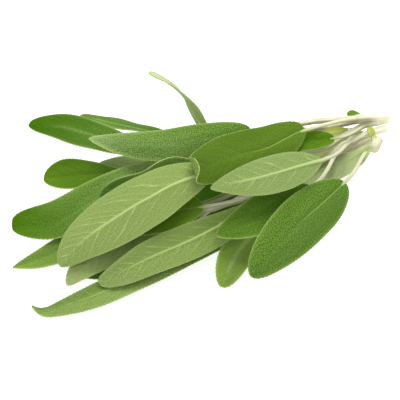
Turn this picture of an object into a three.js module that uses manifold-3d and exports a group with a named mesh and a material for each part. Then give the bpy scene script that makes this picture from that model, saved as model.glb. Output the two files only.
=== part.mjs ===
// A bunch of garden sage, cut and laid down: leafy stems with their cut ends together.
// Millimetres, +Z up. The stems' cut ends point along +X, and the leaf tips along -X.
import * as THREE from "three";
import { mergeVertices } from "three/addons/utils/BufferGeometryUtils.js";
import Module from "manifold-3d";

// The bunch's own middle, which the origin sits under.
const MIDDLE = { x: 5, y: 0.5 };

// Leaf blades.
const BLADE_THICK = 0.7;
const BLADE_ROWS = 12; // along the rib
const BLADE_COLUMNS = 4; // across it
const BLADE_END = 0.55; // half width where a blade starts and stops
const FRAME_STEPS = 64; // steps along a rib or stem for carrying its upright along

// Stalks of leaves, and stems.
const STALK_RADIUS = 0.95;
const STALK_SIDES = 5;
const STALK_STEPS = 4;
const STALK_LEAVES = 0.2; // share of the stalk's length that it holds to the stem's direction
const STALK_MEETS = 0.33; // and to the blade's
const RIB_SHARES = [0.15, 0.35, 0.6]; // shares of the blade's length that the stalk runs below
const RIB_BELOW = 0.45; // depth of the rib's middle below the blade's
const RIB_RADIUS = 0.4; // where the rib ends
const STEM_SIDES = 8;
const STEM_STEPS = 14;
const STEM_CORNER = 0.1; // how much a square stem's corners stand out, as a share of its radius

const FINE = 0.02; // corners finer than this are merged away

const COLOUR = 0x6d9544;

// Each leaf: joins, where its stalk leaves the stem, as a share of the stem; rib, points of the blade's
// rib from base to tip; width; roll about the rib at the base and at the tip, 0 with the upper face up;
// wave, [height, count, phase] of the edge's waves. The rest are [left half, right half] seen from the
// base with the upper face up: fold, how far each half blade is raised from flat; curl, how far its edge
// has turned; widest, where the blade is widest, as a share of its length; blunt, below 1 rounder.
const SPRIGS = {
  top_sprig: {
    stem: {
      path: [[93, 6.5, 13.5], [72, 7.8, 17.5], [52.5, 8.5, 21], [28, 6, 23], [5, 8, 22]],
      radius: [1.4, 0.8],
    },
    leaves: {
      folded_leaf: {
        joins: 0.16,
        rib: [
          [47, -1.6, 28], [43, -2.5, 28.8], [36.5, -5.2, 30], [25, -9.5, 32], [9, -10, 33],
          [-3.5, -12.5, 33.5], [-7, -13.5, 35.5], [-5.5, -14, 38.5],
        ],
        width: 20, roll: [-25, -22], fold: [-5, 5], curl: [-30, 0],
        wave: [0.4, 2, 0], widest: [0.52, 0.53], blunt: [0.4, 0.33],
      },
      pebbled_leaf: {
        joins: 0.58,
        rib: [[25, 5.5, 28.5], [3, 7, 29], [-14, 11, 28], [-28.5, 18.5, 26], [-40.5, 29.5, 22]],
        width: 16.5, roll: [-30, -25], fold: [0, -10], curl: [-20, -25],
        wave: [0.6, 2, 2.1], widest: [0.36, 0.36], blunt: [0.65, 0.65],
      },
      raised_leaf: {
        joins: 0.8,
        rib: [[9.6, 18.5, 19], [6, 29, 26], [3.4, 34.5, 30], [-0.8, 39.8, 33], [-7.6, 46.6, 36]],
        width: 9.6, roll: [115, 30], fold: [8, 8], curl: [0, 0],
        wave: [0.3, 2, 4.4], widest: [0.45, 0.45], blunt: [0.45, 0.45],
      },
    },
  },
  upper_sprig: {
    stem: {
      path: [
        [93.5, 7.5, 9.5], [85, 7.3, 11.5], [72.5, 3.6, 13], [63, -0.7, 14.5], [55.9, -4, 15.8],
        [44.5, -4, 17], [26, -4.5, 18.5], [3, -5.5, 19.5],
      ],
      radius: [1.4, 0.8],
    },
    leaves: {
      broad_pale_leaf: {
        joins: 0.81,
        rib: [
          [2, -12, 30], [-15.5, -14.5, 30.5], [-26, -16.5, 29], [-36, -17.5, 26], [-56, -21, 19],
          [-68, -24, 10],
        ],
        width: 23, roll: [155, 152], fold: [12, 4], curl: [10, 5],
        wave: [0.5, 1.5, 5.1], widest: [0.5, 0.5], blunt: [0.42, 0.58],
      },
      cupped_leaf: {
        joins: 0.83,
        rib: [[0, -8, 25.5], [-11, -5.5, 24.5], [-25, -7.5, 21.5], [-44, 1.5, 15.5]],
        width: 19.5, roll: [-10, -10], fold: [0, 30], curl: [0, 30],
        wave: [1.2, 1.5, 3.4], widest: [0.5, 0.5], blunt: [0.55, 0.55],
      },
      round_base_leaf: {
        joins: 0.1,
        rib: [[60.8, -3.4, 20], [53, -3.5, 22], [44, -4, 23.5], [27.5, -5.5, 24.5]],
        width: 9, roll: [-25, -20], fold: [4, 4], curl: [5, 5],
        wave: [0.3, 2, 0.6], widest: [0.4, 0.4], blunt: [0.5, 0.5],
      },
      strip_leaf: {
        joins: 0.06,
        rib: [[72, 5, 14], [66, 5, 15], [59, 6, 15.5]],
        width: 3.2, roll: [-30, -30], fold: [10, 10], curl: [0, 0],
        wave: [0, 2, 1.1], widest: [0.5, 0.5], blunt: [0.7, 0.7],
      },
    },
  },
  middle_sprig: {
    stem: {
      path: [
        [91, 4, 8.8], [84, 3.4, 9.3], [71, -0.3, 11.3], [56.6, -6.5, 12.8], [42, -11.5, 14], [12, -18.5, 15],
        [-4, -19, 14], [-24, -18.5, 11],
      ],
      radius: [1.6, 0.9],
    },
    leaves: {
      slim_pale_leaf: {
        joins: 0.16,
        rib: [[46, -21.5, 30], [35.5, -24, 33], [18, -26, 35], [2, -25.5, 35.5], [-4, -25, 35]],
        width: 16, roll: [150, 150], fold: [5, 5], curl: [5, 5],
        wave: [0.3, 2, 2.7], widest: [0.45, 0.45], blunt: [0.7, 0.7],
      },
      leaning_leaf: {
        joins: 0.22,
        rib: [[41, -25, 19], [26, -31, 20.5], [9.5, -35, 20], [-5, -35.5, 17.5]],
        width: 18, roll: [-22, -18], fold: [4, 4], curl: [0, 0],
        wave: [0.4, 2, 4.9], widest: [0.4, 0.5], blunt: [0.65, 0.6],
      },
      front_pale_leaf: {
        joins: 0.45,
        rib: [
          [14, -21, 13.4], [1, -28.4, 15.3], [-15.4, -33.2, 16], [-33, -35, 14.3], [-45, -35.5, 11],
          [-55, -34, 7],
        ],
        width: 15.5, roll: [152, 155], fold: [6, 6], curl: [5, 5],
        wave: [0.4, 2, 1.7], widest: [0.55, 0.38], blunt: [0.6, 0.28],
      },
      dark_inner_leaf: {
        joins: 0.7,
        rib: [[-5, -19, 17], [-15, -18, 17.5], [-27, -17, 16], [-40.5, -14.7, 13]],
        width: 16, roll: [-20, -10], fold: [4, 4], curl: [0, 0],
        wave: [0.3, 2, 5.8], widest: [0.5, 0.4], blunt: [0.45, 0.6],
      },
      small_pale_leaf: {
        joins: 0.9,
        rib: [[-21, -17.5, 8.5], [-36, -19, 9], [-51, -23, 9], [-60.5, -27, 7.5], [-67, -30, 4]],
        width: 14, roll: [165, 165], fold: [4, 4], curl: [5, 5],
        wave: [0.3, 2, 3.9], widest: [0.5, 0.5], blunt: [0.45, 0.65],
      },
      low_tip_leaf: {
        joins: 0.8,
        rib: [[-20, -24, 4], [-40, -25, 1.2], [-60, -25, 0.3]],
        width: 13, roll: [0, 0], fold: [4, 4], curl: [0, 0],
        wave: [0.3, 2, 0.9], widest: [0.5, 0.5], blunt: [0.65, 0.65],
      },
    },
  },
  front_sprig: {
    stem: {
      path: [
        [86.5, -0.2, 7.9], [83, -1.4, 6.2], [77.3, -1.9, 5.6], [62, -5.4, 6.3], [40, -14.5, 6.8],
        [14.5, -23.5, 7], [-11.5, -27, 6.2],
      ],
      radius: [1.5, 0.8],
    },
    leaves: {
      broad_front_leaf: {
        joins: 0.04,
        rib: [[54.6, -28.2, 20], [40.5, -37, 22], [29, -43, 22], [12.5, -50, 15.5], [3.5, -53.5, 9]],
        width: 21.5, roll: [-20, -20], fold: [5, 5], curl: [-12, -12],
        wave: [0.4, 2, 2.4], widest: [0.48, 0.48], blunt: [0.48, 0.5],
      },
      low_front_leaf: {
        joins: 0.45,
        rib: [[30, -25, 7.2], [9.7, -33.7, 6.4], [0.4, -41, 6], [-8.4, -50.5, 3.5]],
        width: 14.5, roll: [-20, -20], fold: [10, 10], curl: [0, 0],
        wave: [0.5, 2, 4.1], widest: [0.6, 0.6], blunt: [0.4, 0.52],
      },
      hooked_leaf: {
        joins: 0.8,
        rib: [
          [2.6, -33.2, 7.2], [-18.8, -35.8, 9.2], [-38.4, -36.6, 6.6], [-56, -38.2, 4.1],
          [-72.5, -38, 2], [-79, -37.2, 1.5], [-83, -36, 5],
        ],
        width: 12.5, roll: [168, 180], fold: [0, 0], curl: [0, 0],
        wave: [0.4, 2, 1.4], widest: [0.5, 0.56], blunt: [0.85, 0.6],
      },
      shaded_pale_leaf: {
        joins: 0.05,
        rib: [[80, -3, 7.8], [68, -8, 8.5], [52, -12.5, 9.2], [40, -15, 9.3]],
        width: 12, roll: [175, 175], fold: [0, 0], curl: [0, 0],
        wave: [0.3, 2, 5.4], widest: [0.55, 0.5], blunt: [1, 0.55],
      },
      young_leaf: {
        joins: 0.04,
        rib: [[81.4, -0.3, 11], [81.4, 0.8, 12.8], [81, 2.9, 14.2]],
        width: 3.8, roll: [0, 0], fold: [20, 20], curl: [10, 10],
        wave: [0.2, 2, 1.6], widest: [0.5, 0.5], blunt: [0.5, 0.5],
      },
      low_right_leaf: {
        joins: 0.25,
        rib: [[54, -16, 4], [34, -25, 1], [3, -35, 0.3]],
        width: 17, roll: [0, 0], fold: [4, 4], curl: [0, 0],
        wave: [0.4, 2, 3.6], widest: [0.5, 0.5], blunt: [0.6, 0.6],
      },
    },
  },
  low_sprig: {
    stem: {
      path: [[88, 5.5, 1.9], [71, 1.5, 3], [42, -2.5, 4], [-3, -8.5, 5.5], [-34, -10, 6]],
      radius: [1.7, 0.8],
    },
    leaves: {
      left_low_leaf: {
        joins: 0.95,
        rib: [[-44, -11, 5.5], [-64, -12, 3.8], [-75, -12.8, 2.9], [-86, -12.5, 2]],
        width: 13.5, roll: [-10, -10], fold: [15, 0], curl: [0, 0],
        wave: [0.4, 2, 0.3], widest: [0.4, 0.4], blunt: [0.75, 0.75],
      },
      low_back_leaf: {
        joins: 0.66,
        rib: [[0, 5, 4], [-22, 11, 1.3], [-50, 14, 0.3]],
        width: 17, roll: [0, 0], fold: [4, 4], curl: [0, 0],
        wave: [0.4, 2, 3], widest: [0.5, 0.5], blunt: [0.6, 0.6],
      },
      inner_low_leaf: {
        joins: 0.42,
        rib: [[22, -1, 8], [4, -1, 9.5], [-13, -3, 10], [-30, -6, 9.5]],
        width: 17, roll: [-10, -10], fold: [4, 4], curl: [0, 0],
        wave: [0.4, 2, 4.7], widest: [0.45, 0.45], blunt: [0.6, 0.6],
      },
      low_stem_leaf: {
        joins: 0.1,
        rib: [[85, 9.5, 2.5], [70, 10, 1], [50, 9, 0.3]],
        width: 13, roll: [0, 0], fold: [4, 4], curl: [0, 0],
        wave: [0.3, 2, 2], widest: [0.5, 0.5], blunt: [0.65, 0.65],
      },
      low_middle_leaf: {
        joins: 0.35,
        rib: [[30, -9.5, 3], [20, -11, 0.8], [8, -13, 0.2], [-14, -17, 0.2]],
        width: 17, roll: [0, 0], fold: [0, 0], curl: [0, 0],
        wave: [0.4, 2, 5.6], widest: [0.5, 0.5], blunt: [0.6, 0.6],
      },
    },
  },
  back_sprig: {
    stem: {
      path: [[96, 12.5, 7.5], [75, 13, 9], [48, 13, 10], [19, 14.5, 11], [-10, 18, 11]],
      radius: [1.5, 0.8],
    },
    leaves: {
      far_left_leaf: {
        joins: 0.8,
        rib: [[-16, 17.5, 17], [-28, 25.8, 18], [-38, 36, 17], [-49, 47, 15], [-62.5, 56, 12]],
        width: 15, roll: [-10, -10], fold: [0, 0], curl: [0, 0],
        wave: [0.4, 2, 3.1], widest: [0.55, 0.6], blunt: [0.55, 0.35],
      },
      long_left_leaf: {
        joins: 0.7,
        rib: [[-10, 10.3, 16.5], [-29.5, 6.3, 15], [-46.5, 2.3, 13], [-64, 0, 9], [-82, 4.2, 7]],
        width: 18.5, roll: [-15, -15], fold: [8, 5], curl: [0, 0],
        wave: [0.4, 2, 1], widest: [0.54, 0.66], blunt: [0.45, 0.26],
      },
      mid_left_leaf: {
        joins: 0.81,
        rib: [[-28, 14.2, 12.2], [-37.5, 17, 11], [-50, 22, 9], [-63, 27.5, 6]],
        width: 16, roll: [-12, -10], fold: [18, 10], curl: [0, 20],
        wave: [0.4, 2, 2.6], widest: [0.62, 0.69], blunt: [0.55, 0.45],
      },
      edge_leaf: {
        joins: 0.9,
        rib: [[-3, 14, 11], [-12.5, 15.8, 10.5], [-21.5, 19.2, 10], [-30.5, 22.2, 9.5], [-38.5, 25.8, 8.5]],
        width: 9.5, roll: [-10, -10], fold: [0, 0], curl: [0, 0],
        wave: [0.4, 2, 1.2], widest: [0.5, 0.5], blunt: [0.75, 0.6],
      },
      thin_far_leaf: {
        joins: 0.67,
        rib: [[-4, 28.8, 12], [-13, 35.3, 12], [-23, 42.8, 11.5], [-31, 49.3, 11], [-38.1, 56.4, 10]],
        width: 12, roll: [28, 28], fold: [5, 5], curl: [0, 0],
        wave: [0.4, 2, 4.2], widest: [0.5, 0.5], blunt: [0.35, 0.4],
      },
      tiny_leaf: {
        joins: 0.08,
        rib: [[83, 10.5, 12], [79.5, 11.5, 14], [75, 13, 15]],
        width: 4.6, roll: [-20, -20], fold: [0, 0], curl: [0, 0],
        wave: [0, 2, 0.5], widest: [0.7, 0.7], blunt: [0.6, 0.6],
      },
      back_upper_leaf: {
        joins: 0.25,
        rib: [[56, 12, 12.5], [40, 10.5, 15], [15, 13, 15]],
        width: 12, roll: [12, 12], fold: [4, 4], curl: [0, 0],
        wave: [0.4, 2, 5.2], widest: [0.5, 0.5], blunt: [0.6, 0.6],
      },
      back_leaf: {
        joins: 0.25,
        rib: [[56, 15, 6], [37, 16, 3], [10, 16, 0.3]],
        width: 15, roll: [0, 0], fold: [4, 4], curl: [0, 0],
        wave: [0.4, 2, 1.9], widest: [0.5, 0.5], blunt: [0.6, 0.6],
      },
    },
  },
};

const wasm = await Module();
wasm.setup();

const vector = ([x, y, z]) => new THREE.Vector3(x, y, z);
const radians = THREE.MathUtils.degToRad;
const lerp = THREE.MathUtils.lerp;

// A line through points that carries an upright along it without twisting, and turns it by a roll.
class Line {
  constructor(points, roll = [0, 0]) {
    this.curve = new THREE.CatmullRomCurve3(points.map(vector), false, "catmullrom");
    this.roll = roll;
    this.uprights = [];
    let upright = new THREE.Vector3(0, 0, 1);
    for (let i = 0; i <= FRAME_STEPS; i++) {
      const along = this.curve.getTangentAt(i / FRAME_STEPS);
      upright = upright.clone().addScaledVector(along, -upright.dot(along)).normalize();
      this.uprights.push(upright);
    }
  }

  // The place at a share of the line's length: the point, and the directions along, across and up.
  at(share) {
    const point = this.curve.getPointAt(share);
    const along = this.curve.getTangentAt(share);
    const step = Math.min(Math.floor(share * FRAME_STEPS), FRAME_STEPS - 1);
    const up = this.uprights[step].clone().lerp(this.uprights[step + 1], share * FRAME_STEPS - step);
    up.addScaledVector(along, -up.dot(along)).normalize();
    up.applyAxisAngle(along, radians(lerp(this.roll[0], this.roll[1], share)));
    return { point, along, across: new THREE.Vector3().crossVectors(along, up), up };
  }
}

// A closed geometry as a solid.
function solidOf(geometry) {
  geometry.deleteAttribute("normal");
  geometry.deleteAttribute("uv");
  const merged = mergeVertices(geometry, 1e-4);
  const mesh = new wasm.Mesh({
    numProp: 3,
    vertProperties: merged.attributes.position.array,
    triVerts: new Uint32Array(merged.index.array),
  });
  return new wasm.Manifold(mesh);
}

// A closed tube through places of a line, with a radius at each. corner makes it squarer. What would
// reach below the surface that the bunch lies on is pressed flat there.
function tube(places, radii, sides, corner = 0) {
  const steps = places.length - 1;
  const geometry = new THREE.CylinderGeometry(1, 1, 1, sides, steps);
  const position = geometry.attributes.position;
  for (let i = 0; i < position.count; i++) {
    const step = Math.round((position.getY(i) + 0.5) * steps);
    const { point, across, up } = places[step];
    const angle = Math.atan2(position.getZ(i), position.getX(i));
    const radius = Math.hypot(position.getX(i), position.getZ(i)) * radii[step];
    const reach = radius * (1 - corner * Math.cos(4 * angle));
    const moved = point.clone();
    moved.addScaledVector(across, reach * Math.cos(angle));
    moved.addScaledVector(up, reach * Math.sin(angle));
    position.setXYZ(i, moved.x, moved.y, Math.max(moved.z, 0));
  }
  return solidOf(geometry);
}

function stemSolid({ path, radius }) {
  const line = new Line(path);
  const shares = Array.from({ length: STEM_STEPS + 1 }, (_, i) => i / STEM_STEPS);
  const radii = shares.map((share) => lerp(radius[0], radius[1], share));
  return tube(shares.map((share) => line.at(share)), radii, STEM_SIDES, STEM_CORNER);
}

// A leaf's stalk: it leaves the stem along it, bends to the blade and runs on below it as its rib.
function stalkSolid(stem, rib, leaf) {
  const from = new Line(stem.path).at(leaf.joins);
  const base = rib.at(0);
  const reach = from.point.distanceTo(base.point);
  const bend = new THREE.CubicBezierCurve3(
    from.point,
    from.point.clone().addScaledVector(from.along, reach * STALK_LEAVES),
    base.point.clone().addScaledVector(base.along, -reach * STALK_MEETS),
    base.point,
  );
  const points = bend.getPoints(STALK_STEPS).map((p) => p.toArray());
  for (const share of RIB_SHARES) {
    const { point, up } = rib.at(share);
    points.push(point.addScaledVector(up, -RIB_BELOW).toArray());
  }
  const line = new Line(points);
  const steps = points.length - 1;
  const places = points.map((_, i) => line.at(i / steps));
  const slim = Math.min(1, leaf.width / 12);
  const radii = points.map((_, i) => slim * lerp(STALK_RADIUS, RIB_RADIUS, i / steps));
  return tube(places, radii, STALK_SIDES);
}

// The width of one half of the blade, 0 the left and 1 the right, at a share of its length.
function halfWidth(leaf, share, half) {
  const power = Math.log(0.5) / Math.log(leaf.widest[half]);
  const swell = Math.sin(Math.PI * share ** power) ** leaf.blunt[half];
  return Math.max((leaf.width / 2) * swell, BLADE_END);
}

// The middle of the blade's thickness at a share of its length, with side from -1 at one edge to 1 at
// the other, and the direction square to the blade there.
function bladePlace(leaf, rib, share, side) {
  const { point, across, up } = rib.at(share);
  const half = side < 0 ? 0 : 1;
  const out = Math.abs(side) * halfWidth(leaf, share, half);
  const bend = radians(leaf.curl[half]) / (leaf.width / 2);
  const turned = bend * out;
  const flat = Math.abs(bend) < 1e-6 ? out : Math.sin(turned) / bend;
  const raised = Math.abs(bend) < 1e-6 ? 0 : (1 - Math.cos(turned)) / bend;
  const fold = radians(leaf.fold[half]);
  const [height, count, phase] = leaf.wave;
  const ripple = height * side * side * Math.sin(Math.PI * share) *
    Math.sin(2 * Math.PI * count * share + phase + half * 2);
  const x = Math.sign(side) * (flat * Math.cos(fold) - raised * Math.sin(fold));
  const y = flat * Math.sin(fold) + raised * Math.cos(fold) + ripple;
  const lean = side === 0 ? 0 : fold + turned;
  const normal = up.clone().multiplyScalar(Math.cos(lean));
  normal.addScaledVector(across, -Math.sign(side) * Math.sin(lean));
  return { point: point.clone().addScaledVector(across, x).addScaledVector(up, y), normal };
}

// The blade: a sheet of even thickness with its two faces split alike, and nothing below the surface
// that it lies on.
function bladeSolid(leaf, rib) {
  const rows = BLADE_ROWS + 1;
  const columns = BLADE_COLUMNS + 1;
  const faces = [[], []];
  for (let row = 0; row < rows; row++) {
    const share = (1 - Math.cos((Math.PI * row) / BLADE_ROWS)) / 2;
    for (let column = 0; column < columns; column++) {
      const { point, normal } = bladePlace(leaf, rib, share, (2 * column) / BLADE_COLUMNS - 1);
      const upper = point.clone().addScaledVector(normal, BLADE_THICK / 2);
      const under = point.clone().addScaledVector(normal, -BLADE_THICK / 2);
      const [low, high] = upper.z > under.z ? [under, upper] : [upper, under];
      low.z = Math.max(low.z, 0);
      high.z = Math.max(high.z, BLADE_THICK * Math.abs(normal.z));
      faces[0].push(...upper.toArray());
      faces[1].push(...under.toArray());
    }
  }
  const count = rows * columns;
  const index = [];
  const quad = (a, b, c, d) => index.push(a, b, c, a, c, d);
  for (let row = 0; row < BLADE_ROWS; row++) {
    for (let column = 0; column < BLADE_COLUMNS; column++) {
      const a = row * columns + column;
      const [b, c, d] = [a + 1, a + 1 + columns, a + columns];
      index.push(a, b, c, a, c, d);
      index.push(count + a, count + c, count + b, count + a, count + d, count + c);
    }
    const left = row * columns;
    const right = left + BLADE_COLUMNS;
    quad(left, left + columns, count + left + columns, count + left);
    quad(right + columns, right, count + right, count + right + columns);
  }
  for (let column = 0; column < BLADE_COLUMNS; column++) {
    const tip = BLADE_ROWS * columns + column;
    quad(column + 1, column, count + column, count + column + 1);
    quad(tip, tip + 1, count + tip + 1, count + tip);
  }
  const geometry = new THREE.BufferGeometry();
  geometry.setAttribute("position", new THREE.Float32BufferAttribute(faces.flat(), 3));
  geometry.setIndex(index);
  return solidOf(geometry);
}

function leafSolid(stem, leaf) {
  const rib = new Line(leaf.rib, leaf.roll);
  return bladeSolid(leaf, rib).add(stalkSolid(stem, rib, leaf));
}

function sprigMesh(name, { stem, leaves }) {
  const parts = [stemSolid(stem)];
  for (const leaf of Object.values(leaves)) parts.push(leafSolid(stem, leaf));
  const solid = wasm.Manifold.union(parts);
  const { vertProperties, triVerts } = solid.simplify(FINE).getMesh();
  const geometry = new THREE.BufferGeometry();
  geometry.setAttribute("position", new THREE.BufferAttribute(vertProperties, 3));
  geometry.setIndex(new THREE.BufferAttribute(triVerts, 1));
  const material = new THREE.MeshStandardMaterial({ color: COLOUR, roughness: 0.75, metalness: 0 });
  const mesh = new THREE.Mesh(geometry, material);
  mesh.name = name;
  return mesh;
}

const bunch = new THREE.Group();
for (const [name, sprig] of Object.entries(SPRIGS)) bunch.add(sprigMesh(name, sprig));
bunch.position.set(-MIDDLE.x, -MIDDLE.y, 0);

export default bunch;
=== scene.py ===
"""A bunch of garden sage, cut and laid down: pebbled leaves with pale veined undersides on woolly stems."""

import math

import bpy
import numpy as np
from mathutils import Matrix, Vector


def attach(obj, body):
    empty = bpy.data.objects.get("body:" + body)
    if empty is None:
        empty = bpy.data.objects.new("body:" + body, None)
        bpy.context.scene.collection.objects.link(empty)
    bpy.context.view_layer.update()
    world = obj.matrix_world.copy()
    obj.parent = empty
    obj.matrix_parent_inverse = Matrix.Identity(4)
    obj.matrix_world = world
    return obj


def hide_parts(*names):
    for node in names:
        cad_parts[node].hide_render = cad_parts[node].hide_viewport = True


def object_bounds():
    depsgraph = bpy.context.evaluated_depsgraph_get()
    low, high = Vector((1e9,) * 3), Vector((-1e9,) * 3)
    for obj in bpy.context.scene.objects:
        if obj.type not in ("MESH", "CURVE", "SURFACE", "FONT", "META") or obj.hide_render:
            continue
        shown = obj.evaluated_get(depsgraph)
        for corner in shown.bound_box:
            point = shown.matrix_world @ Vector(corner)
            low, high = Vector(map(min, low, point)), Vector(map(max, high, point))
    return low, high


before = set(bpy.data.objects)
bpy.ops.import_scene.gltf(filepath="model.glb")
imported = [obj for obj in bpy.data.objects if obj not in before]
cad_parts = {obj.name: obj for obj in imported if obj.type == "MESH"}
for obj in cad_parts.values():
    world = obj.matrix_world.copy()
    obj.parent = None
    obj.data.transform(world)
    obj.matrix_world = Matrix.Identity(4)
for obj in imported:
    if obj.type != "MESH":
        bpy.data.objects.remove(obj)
cad_lowest, cad_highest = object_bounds()

MM = 0.001
SEED = 11

# The bunch's own middle, in the millimetres that the leaves are placed in. The origin sits under it.
MIDDLE = np.array((5, 0.5, 0))

# Leaf blades, in millimetres.
BLADE_THICK = 0.45
BLADE_END = 0.55  # half width where a blade starts and stops
ROW_STEP = 0.42  # between the rows of faces along a blade
COLUMN_STEP = 0.6  # and between the columns across it
TOOTH = 1.5  # length of a tooth of the finely toothed edge
TOOTH_DEPTH = 0.25
TOOTHED_FROM = 2  # half width from which the edge is toothed
ROW_CROWD = 0.45  # how much closer the rows are at both ends of a blade
PEBBLE = 1.0  # across one bulge of the pebbled face
PEBBLE_RISE = 0.1
PEBBLE_STEEP = 1.4  # how steeply a bulge falls from its middle
PEBBLE_REPEAT = 64  # bulges before their pattern repeats
RELIEF_EDGE = 0.8  # how far in from the edge the relief starts to fade
VEIN_SPACE = 10  # between side veins, along the rib, where the blade starts
VEIN_CROWD = 1.4  # how much closer they come by its tip
VEIN_LEAN = 1.0  # how far a side vein runs towards the tip for each millimetre out, where it starts
VEIN_SWEEP = 0.12  # and how much more with each millimetre
VEIN_SLANT = 0.5  # width across a vein, as a share of its width along the rib
VEIN_STAGGER = 0.45  # how far one half's veins are moved on from the other's, as a share of their space
VEIN_WIDE = 0.4
VEIN_SINK = 0.08
QUILT_RISE = 0.04  # how much the blade swells between side veins
RIB_WIDE = 0.9
RIB_SINK = 0.22

# Stems, and stalks that run on as the ribs of their leaves, in millimetres.
STEM_SIDES = 28
STEM_CORNER = 0.1  # how much a square stem's corners stand out, as a share of its radius
STEM_UNEVEN = 0.04  # how much its radius varies along it
STALK_RADIUS = 0.95
STALK_SIDES = 14
STALK_LEAVES = 0.2  # share of the stalk's length that it holds to the stem's direction
STALK_MEETS = 0.33  # and to the blade's
STALK_POINTS = 6  # that its line is drawn through
SLIM_BLADE = 12  # a blade narrower than this has a slimmer stalk
RIB_START = 0.78  # half width of the rib where the blade starts
RIB_END = 0.12
RIB_FLAT = 0.6  # its half height, as a share of that
RIB_REACH = 0.96  # share of the blade's length that the rib reaches
RIB_SETTLE = 3.0  # the length in which it sinks below the blade
RIB_DEEP = 0.9  # how deep it sinks, as a share of its half height
RIB_CLEAR = 0.08  # and how far beyond that
RING_STEP = 0.8  # between the rings of faces of a stem or stalk
NODE_SWELL = 0.35  # how much a stem swells where leaves leave it, as a share of its radius
NODE_LONG = 2.2
CUT_RINGS = (0.12, 0.45, 0.22)  # steps inwards of the rings on a cut end, as shares of its radius
SMOOTH_ANGLE = 50  # edges sharper than this stay sharp, in degrees

# Hairs, in millimetres.
HAIR_WIDE = 0.05
HAIR_LONG = (0.25, 0.6)
RIM_HAIR_LONG = (0.15, 0.35)
HAIR_ROOT = 0.94  # how far out from a stem's middle a hair starts, as a share of its radius
STEM_HAIRS = 9  # to a millimetre of stem
STALK_HAIRS = 6  # to a millimetre of stalk
RIM_HAIRS = 4  # to a millimetre of a blade's edge
RIM_ROOT = 0.985  # how far out to the edge a hair of the rim starts
ASKEW = (0.31, 0.52, 0.8)  # a direction that hairs are set square to

LINE_STEPS = 200  # steps that a line's length is measured in
FRAME_STEPS = 64  # steps along a line for carrying its upright along

# The camera, in degrees and millimetres, and the light.
CAMERA_AZIMUTH = -19
CAMERA_ELEVATION = 50
CAMERA_DISTANCE = 420
CAMERA_TARGET = (-9.5, -14, 15)
CAMERA_LENS = 90
SKY_LIGHT = 0.66
FLOOR_GLOW = 0.8

# Each sprig: stem, points of its line from the cut end; radius at both ends; and how its wool looks, where
# pale is how strong the painted highlight on the upper side of its stem and stalks is, and purple a stain
# that the stem keeps off its upper side, so that it is also painted shade below.
# Each leaf: rib, points of its blade's rib from base to tip; joins, where its stalk leaves the stem, as a
# share of the stem; width; roll about the rib at the base and at the tip, in degrees, 0 with the upper face
# up; wave, the height, count and phase of the edge's waves. Four are for the left and the right half, seen
# from the base with the upper face up: fold, how far each half is raised from flat; curl, how far its edge
# has turned; widest, where it is widest, as a share of its length; blunt, below 1 rounder.
# The rest is colour: tone and shading, how much lighter the left half, the right half and the tip are, partly
# the leaf's own tone and partly painted light and shade where a half or tip lies lit or in shadow; felt, how
# woolly the base and the tip are; coarse, how strong the pebbles are; rib_line, how pale the rib is; young,
# how yellow the leaf is. One number stands for two the same, and what a leaf leaves out is as Leaf gives it.
TOP_SPRIG = dict(
    stem=[(93, 6.5, 13.5), (72, 7.8, 17.5), (52.5, 8.5, 21), (28, 6, 23), (5, 8, 22)],
    radius=(1.4, 0.8),
    wool=dict(pale=0.8, purple=0.9, green=0, cut_dark=0),
    leaves=dict(
        folded_leaf=dict(
            rib=[(47, -1.6, 28), (43, -2.5, 28.8), (36.5, -5.2, 30), (25, -9.5, 32), (9, -10, 33),
                 (-3.5, -12.5, 33.5), (-7, -13.5, 35.5), (-5.5, -14, 38.5)],
            joins=0.16, width=20, roll=(-25, -22), fold=(-5, 5), curl=(-30, 0), wave=(0.4, 2, 0),
            widest=(0.52, 0.53), blunt=(0.4, 0.33),
            tone=(-0.35, -0.4, -0.5), felt=0.05, coarse=1.5, rib_line=0.45, young=0.1,
        ),
        pebbled_leaf=dict(
            rib=[(25, 5.5, 28.5), (3, 7, 29), (-14, 11, 28), (-28.5, 18.5, 26), (-40.5, 29.5, 22)],
            joins=0.58, width=16.5, roll=(-30, -25), fold=(0, -10), curl=(-20, -25), wave=(0.6, 2, 2.1),
            widest=0.36, blunt=0.65,
            tone=(-1.1, 0, 0.5), felt=(0.4, 1.4), coarse=2,
        ),
        raised_leaf=dict(
            rib=[(9.6, 18.5, 19), (6, 29, 26), (3.4, 34.5, 30), (-0.8, 39.8, 33), (-7.6, 46.6, 36)],
            joins=0.8, width=9.6, roll=(115, 30), fold=8, wave=(0.3, 2, 4.4), widest=0.45, blunt=0.45,
            tone=(0.4, 0.6, 0.4), felt=(0.9, 2.1), coarse=0.3, rib_line=0.3,
        ),
    ),
)

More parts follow.
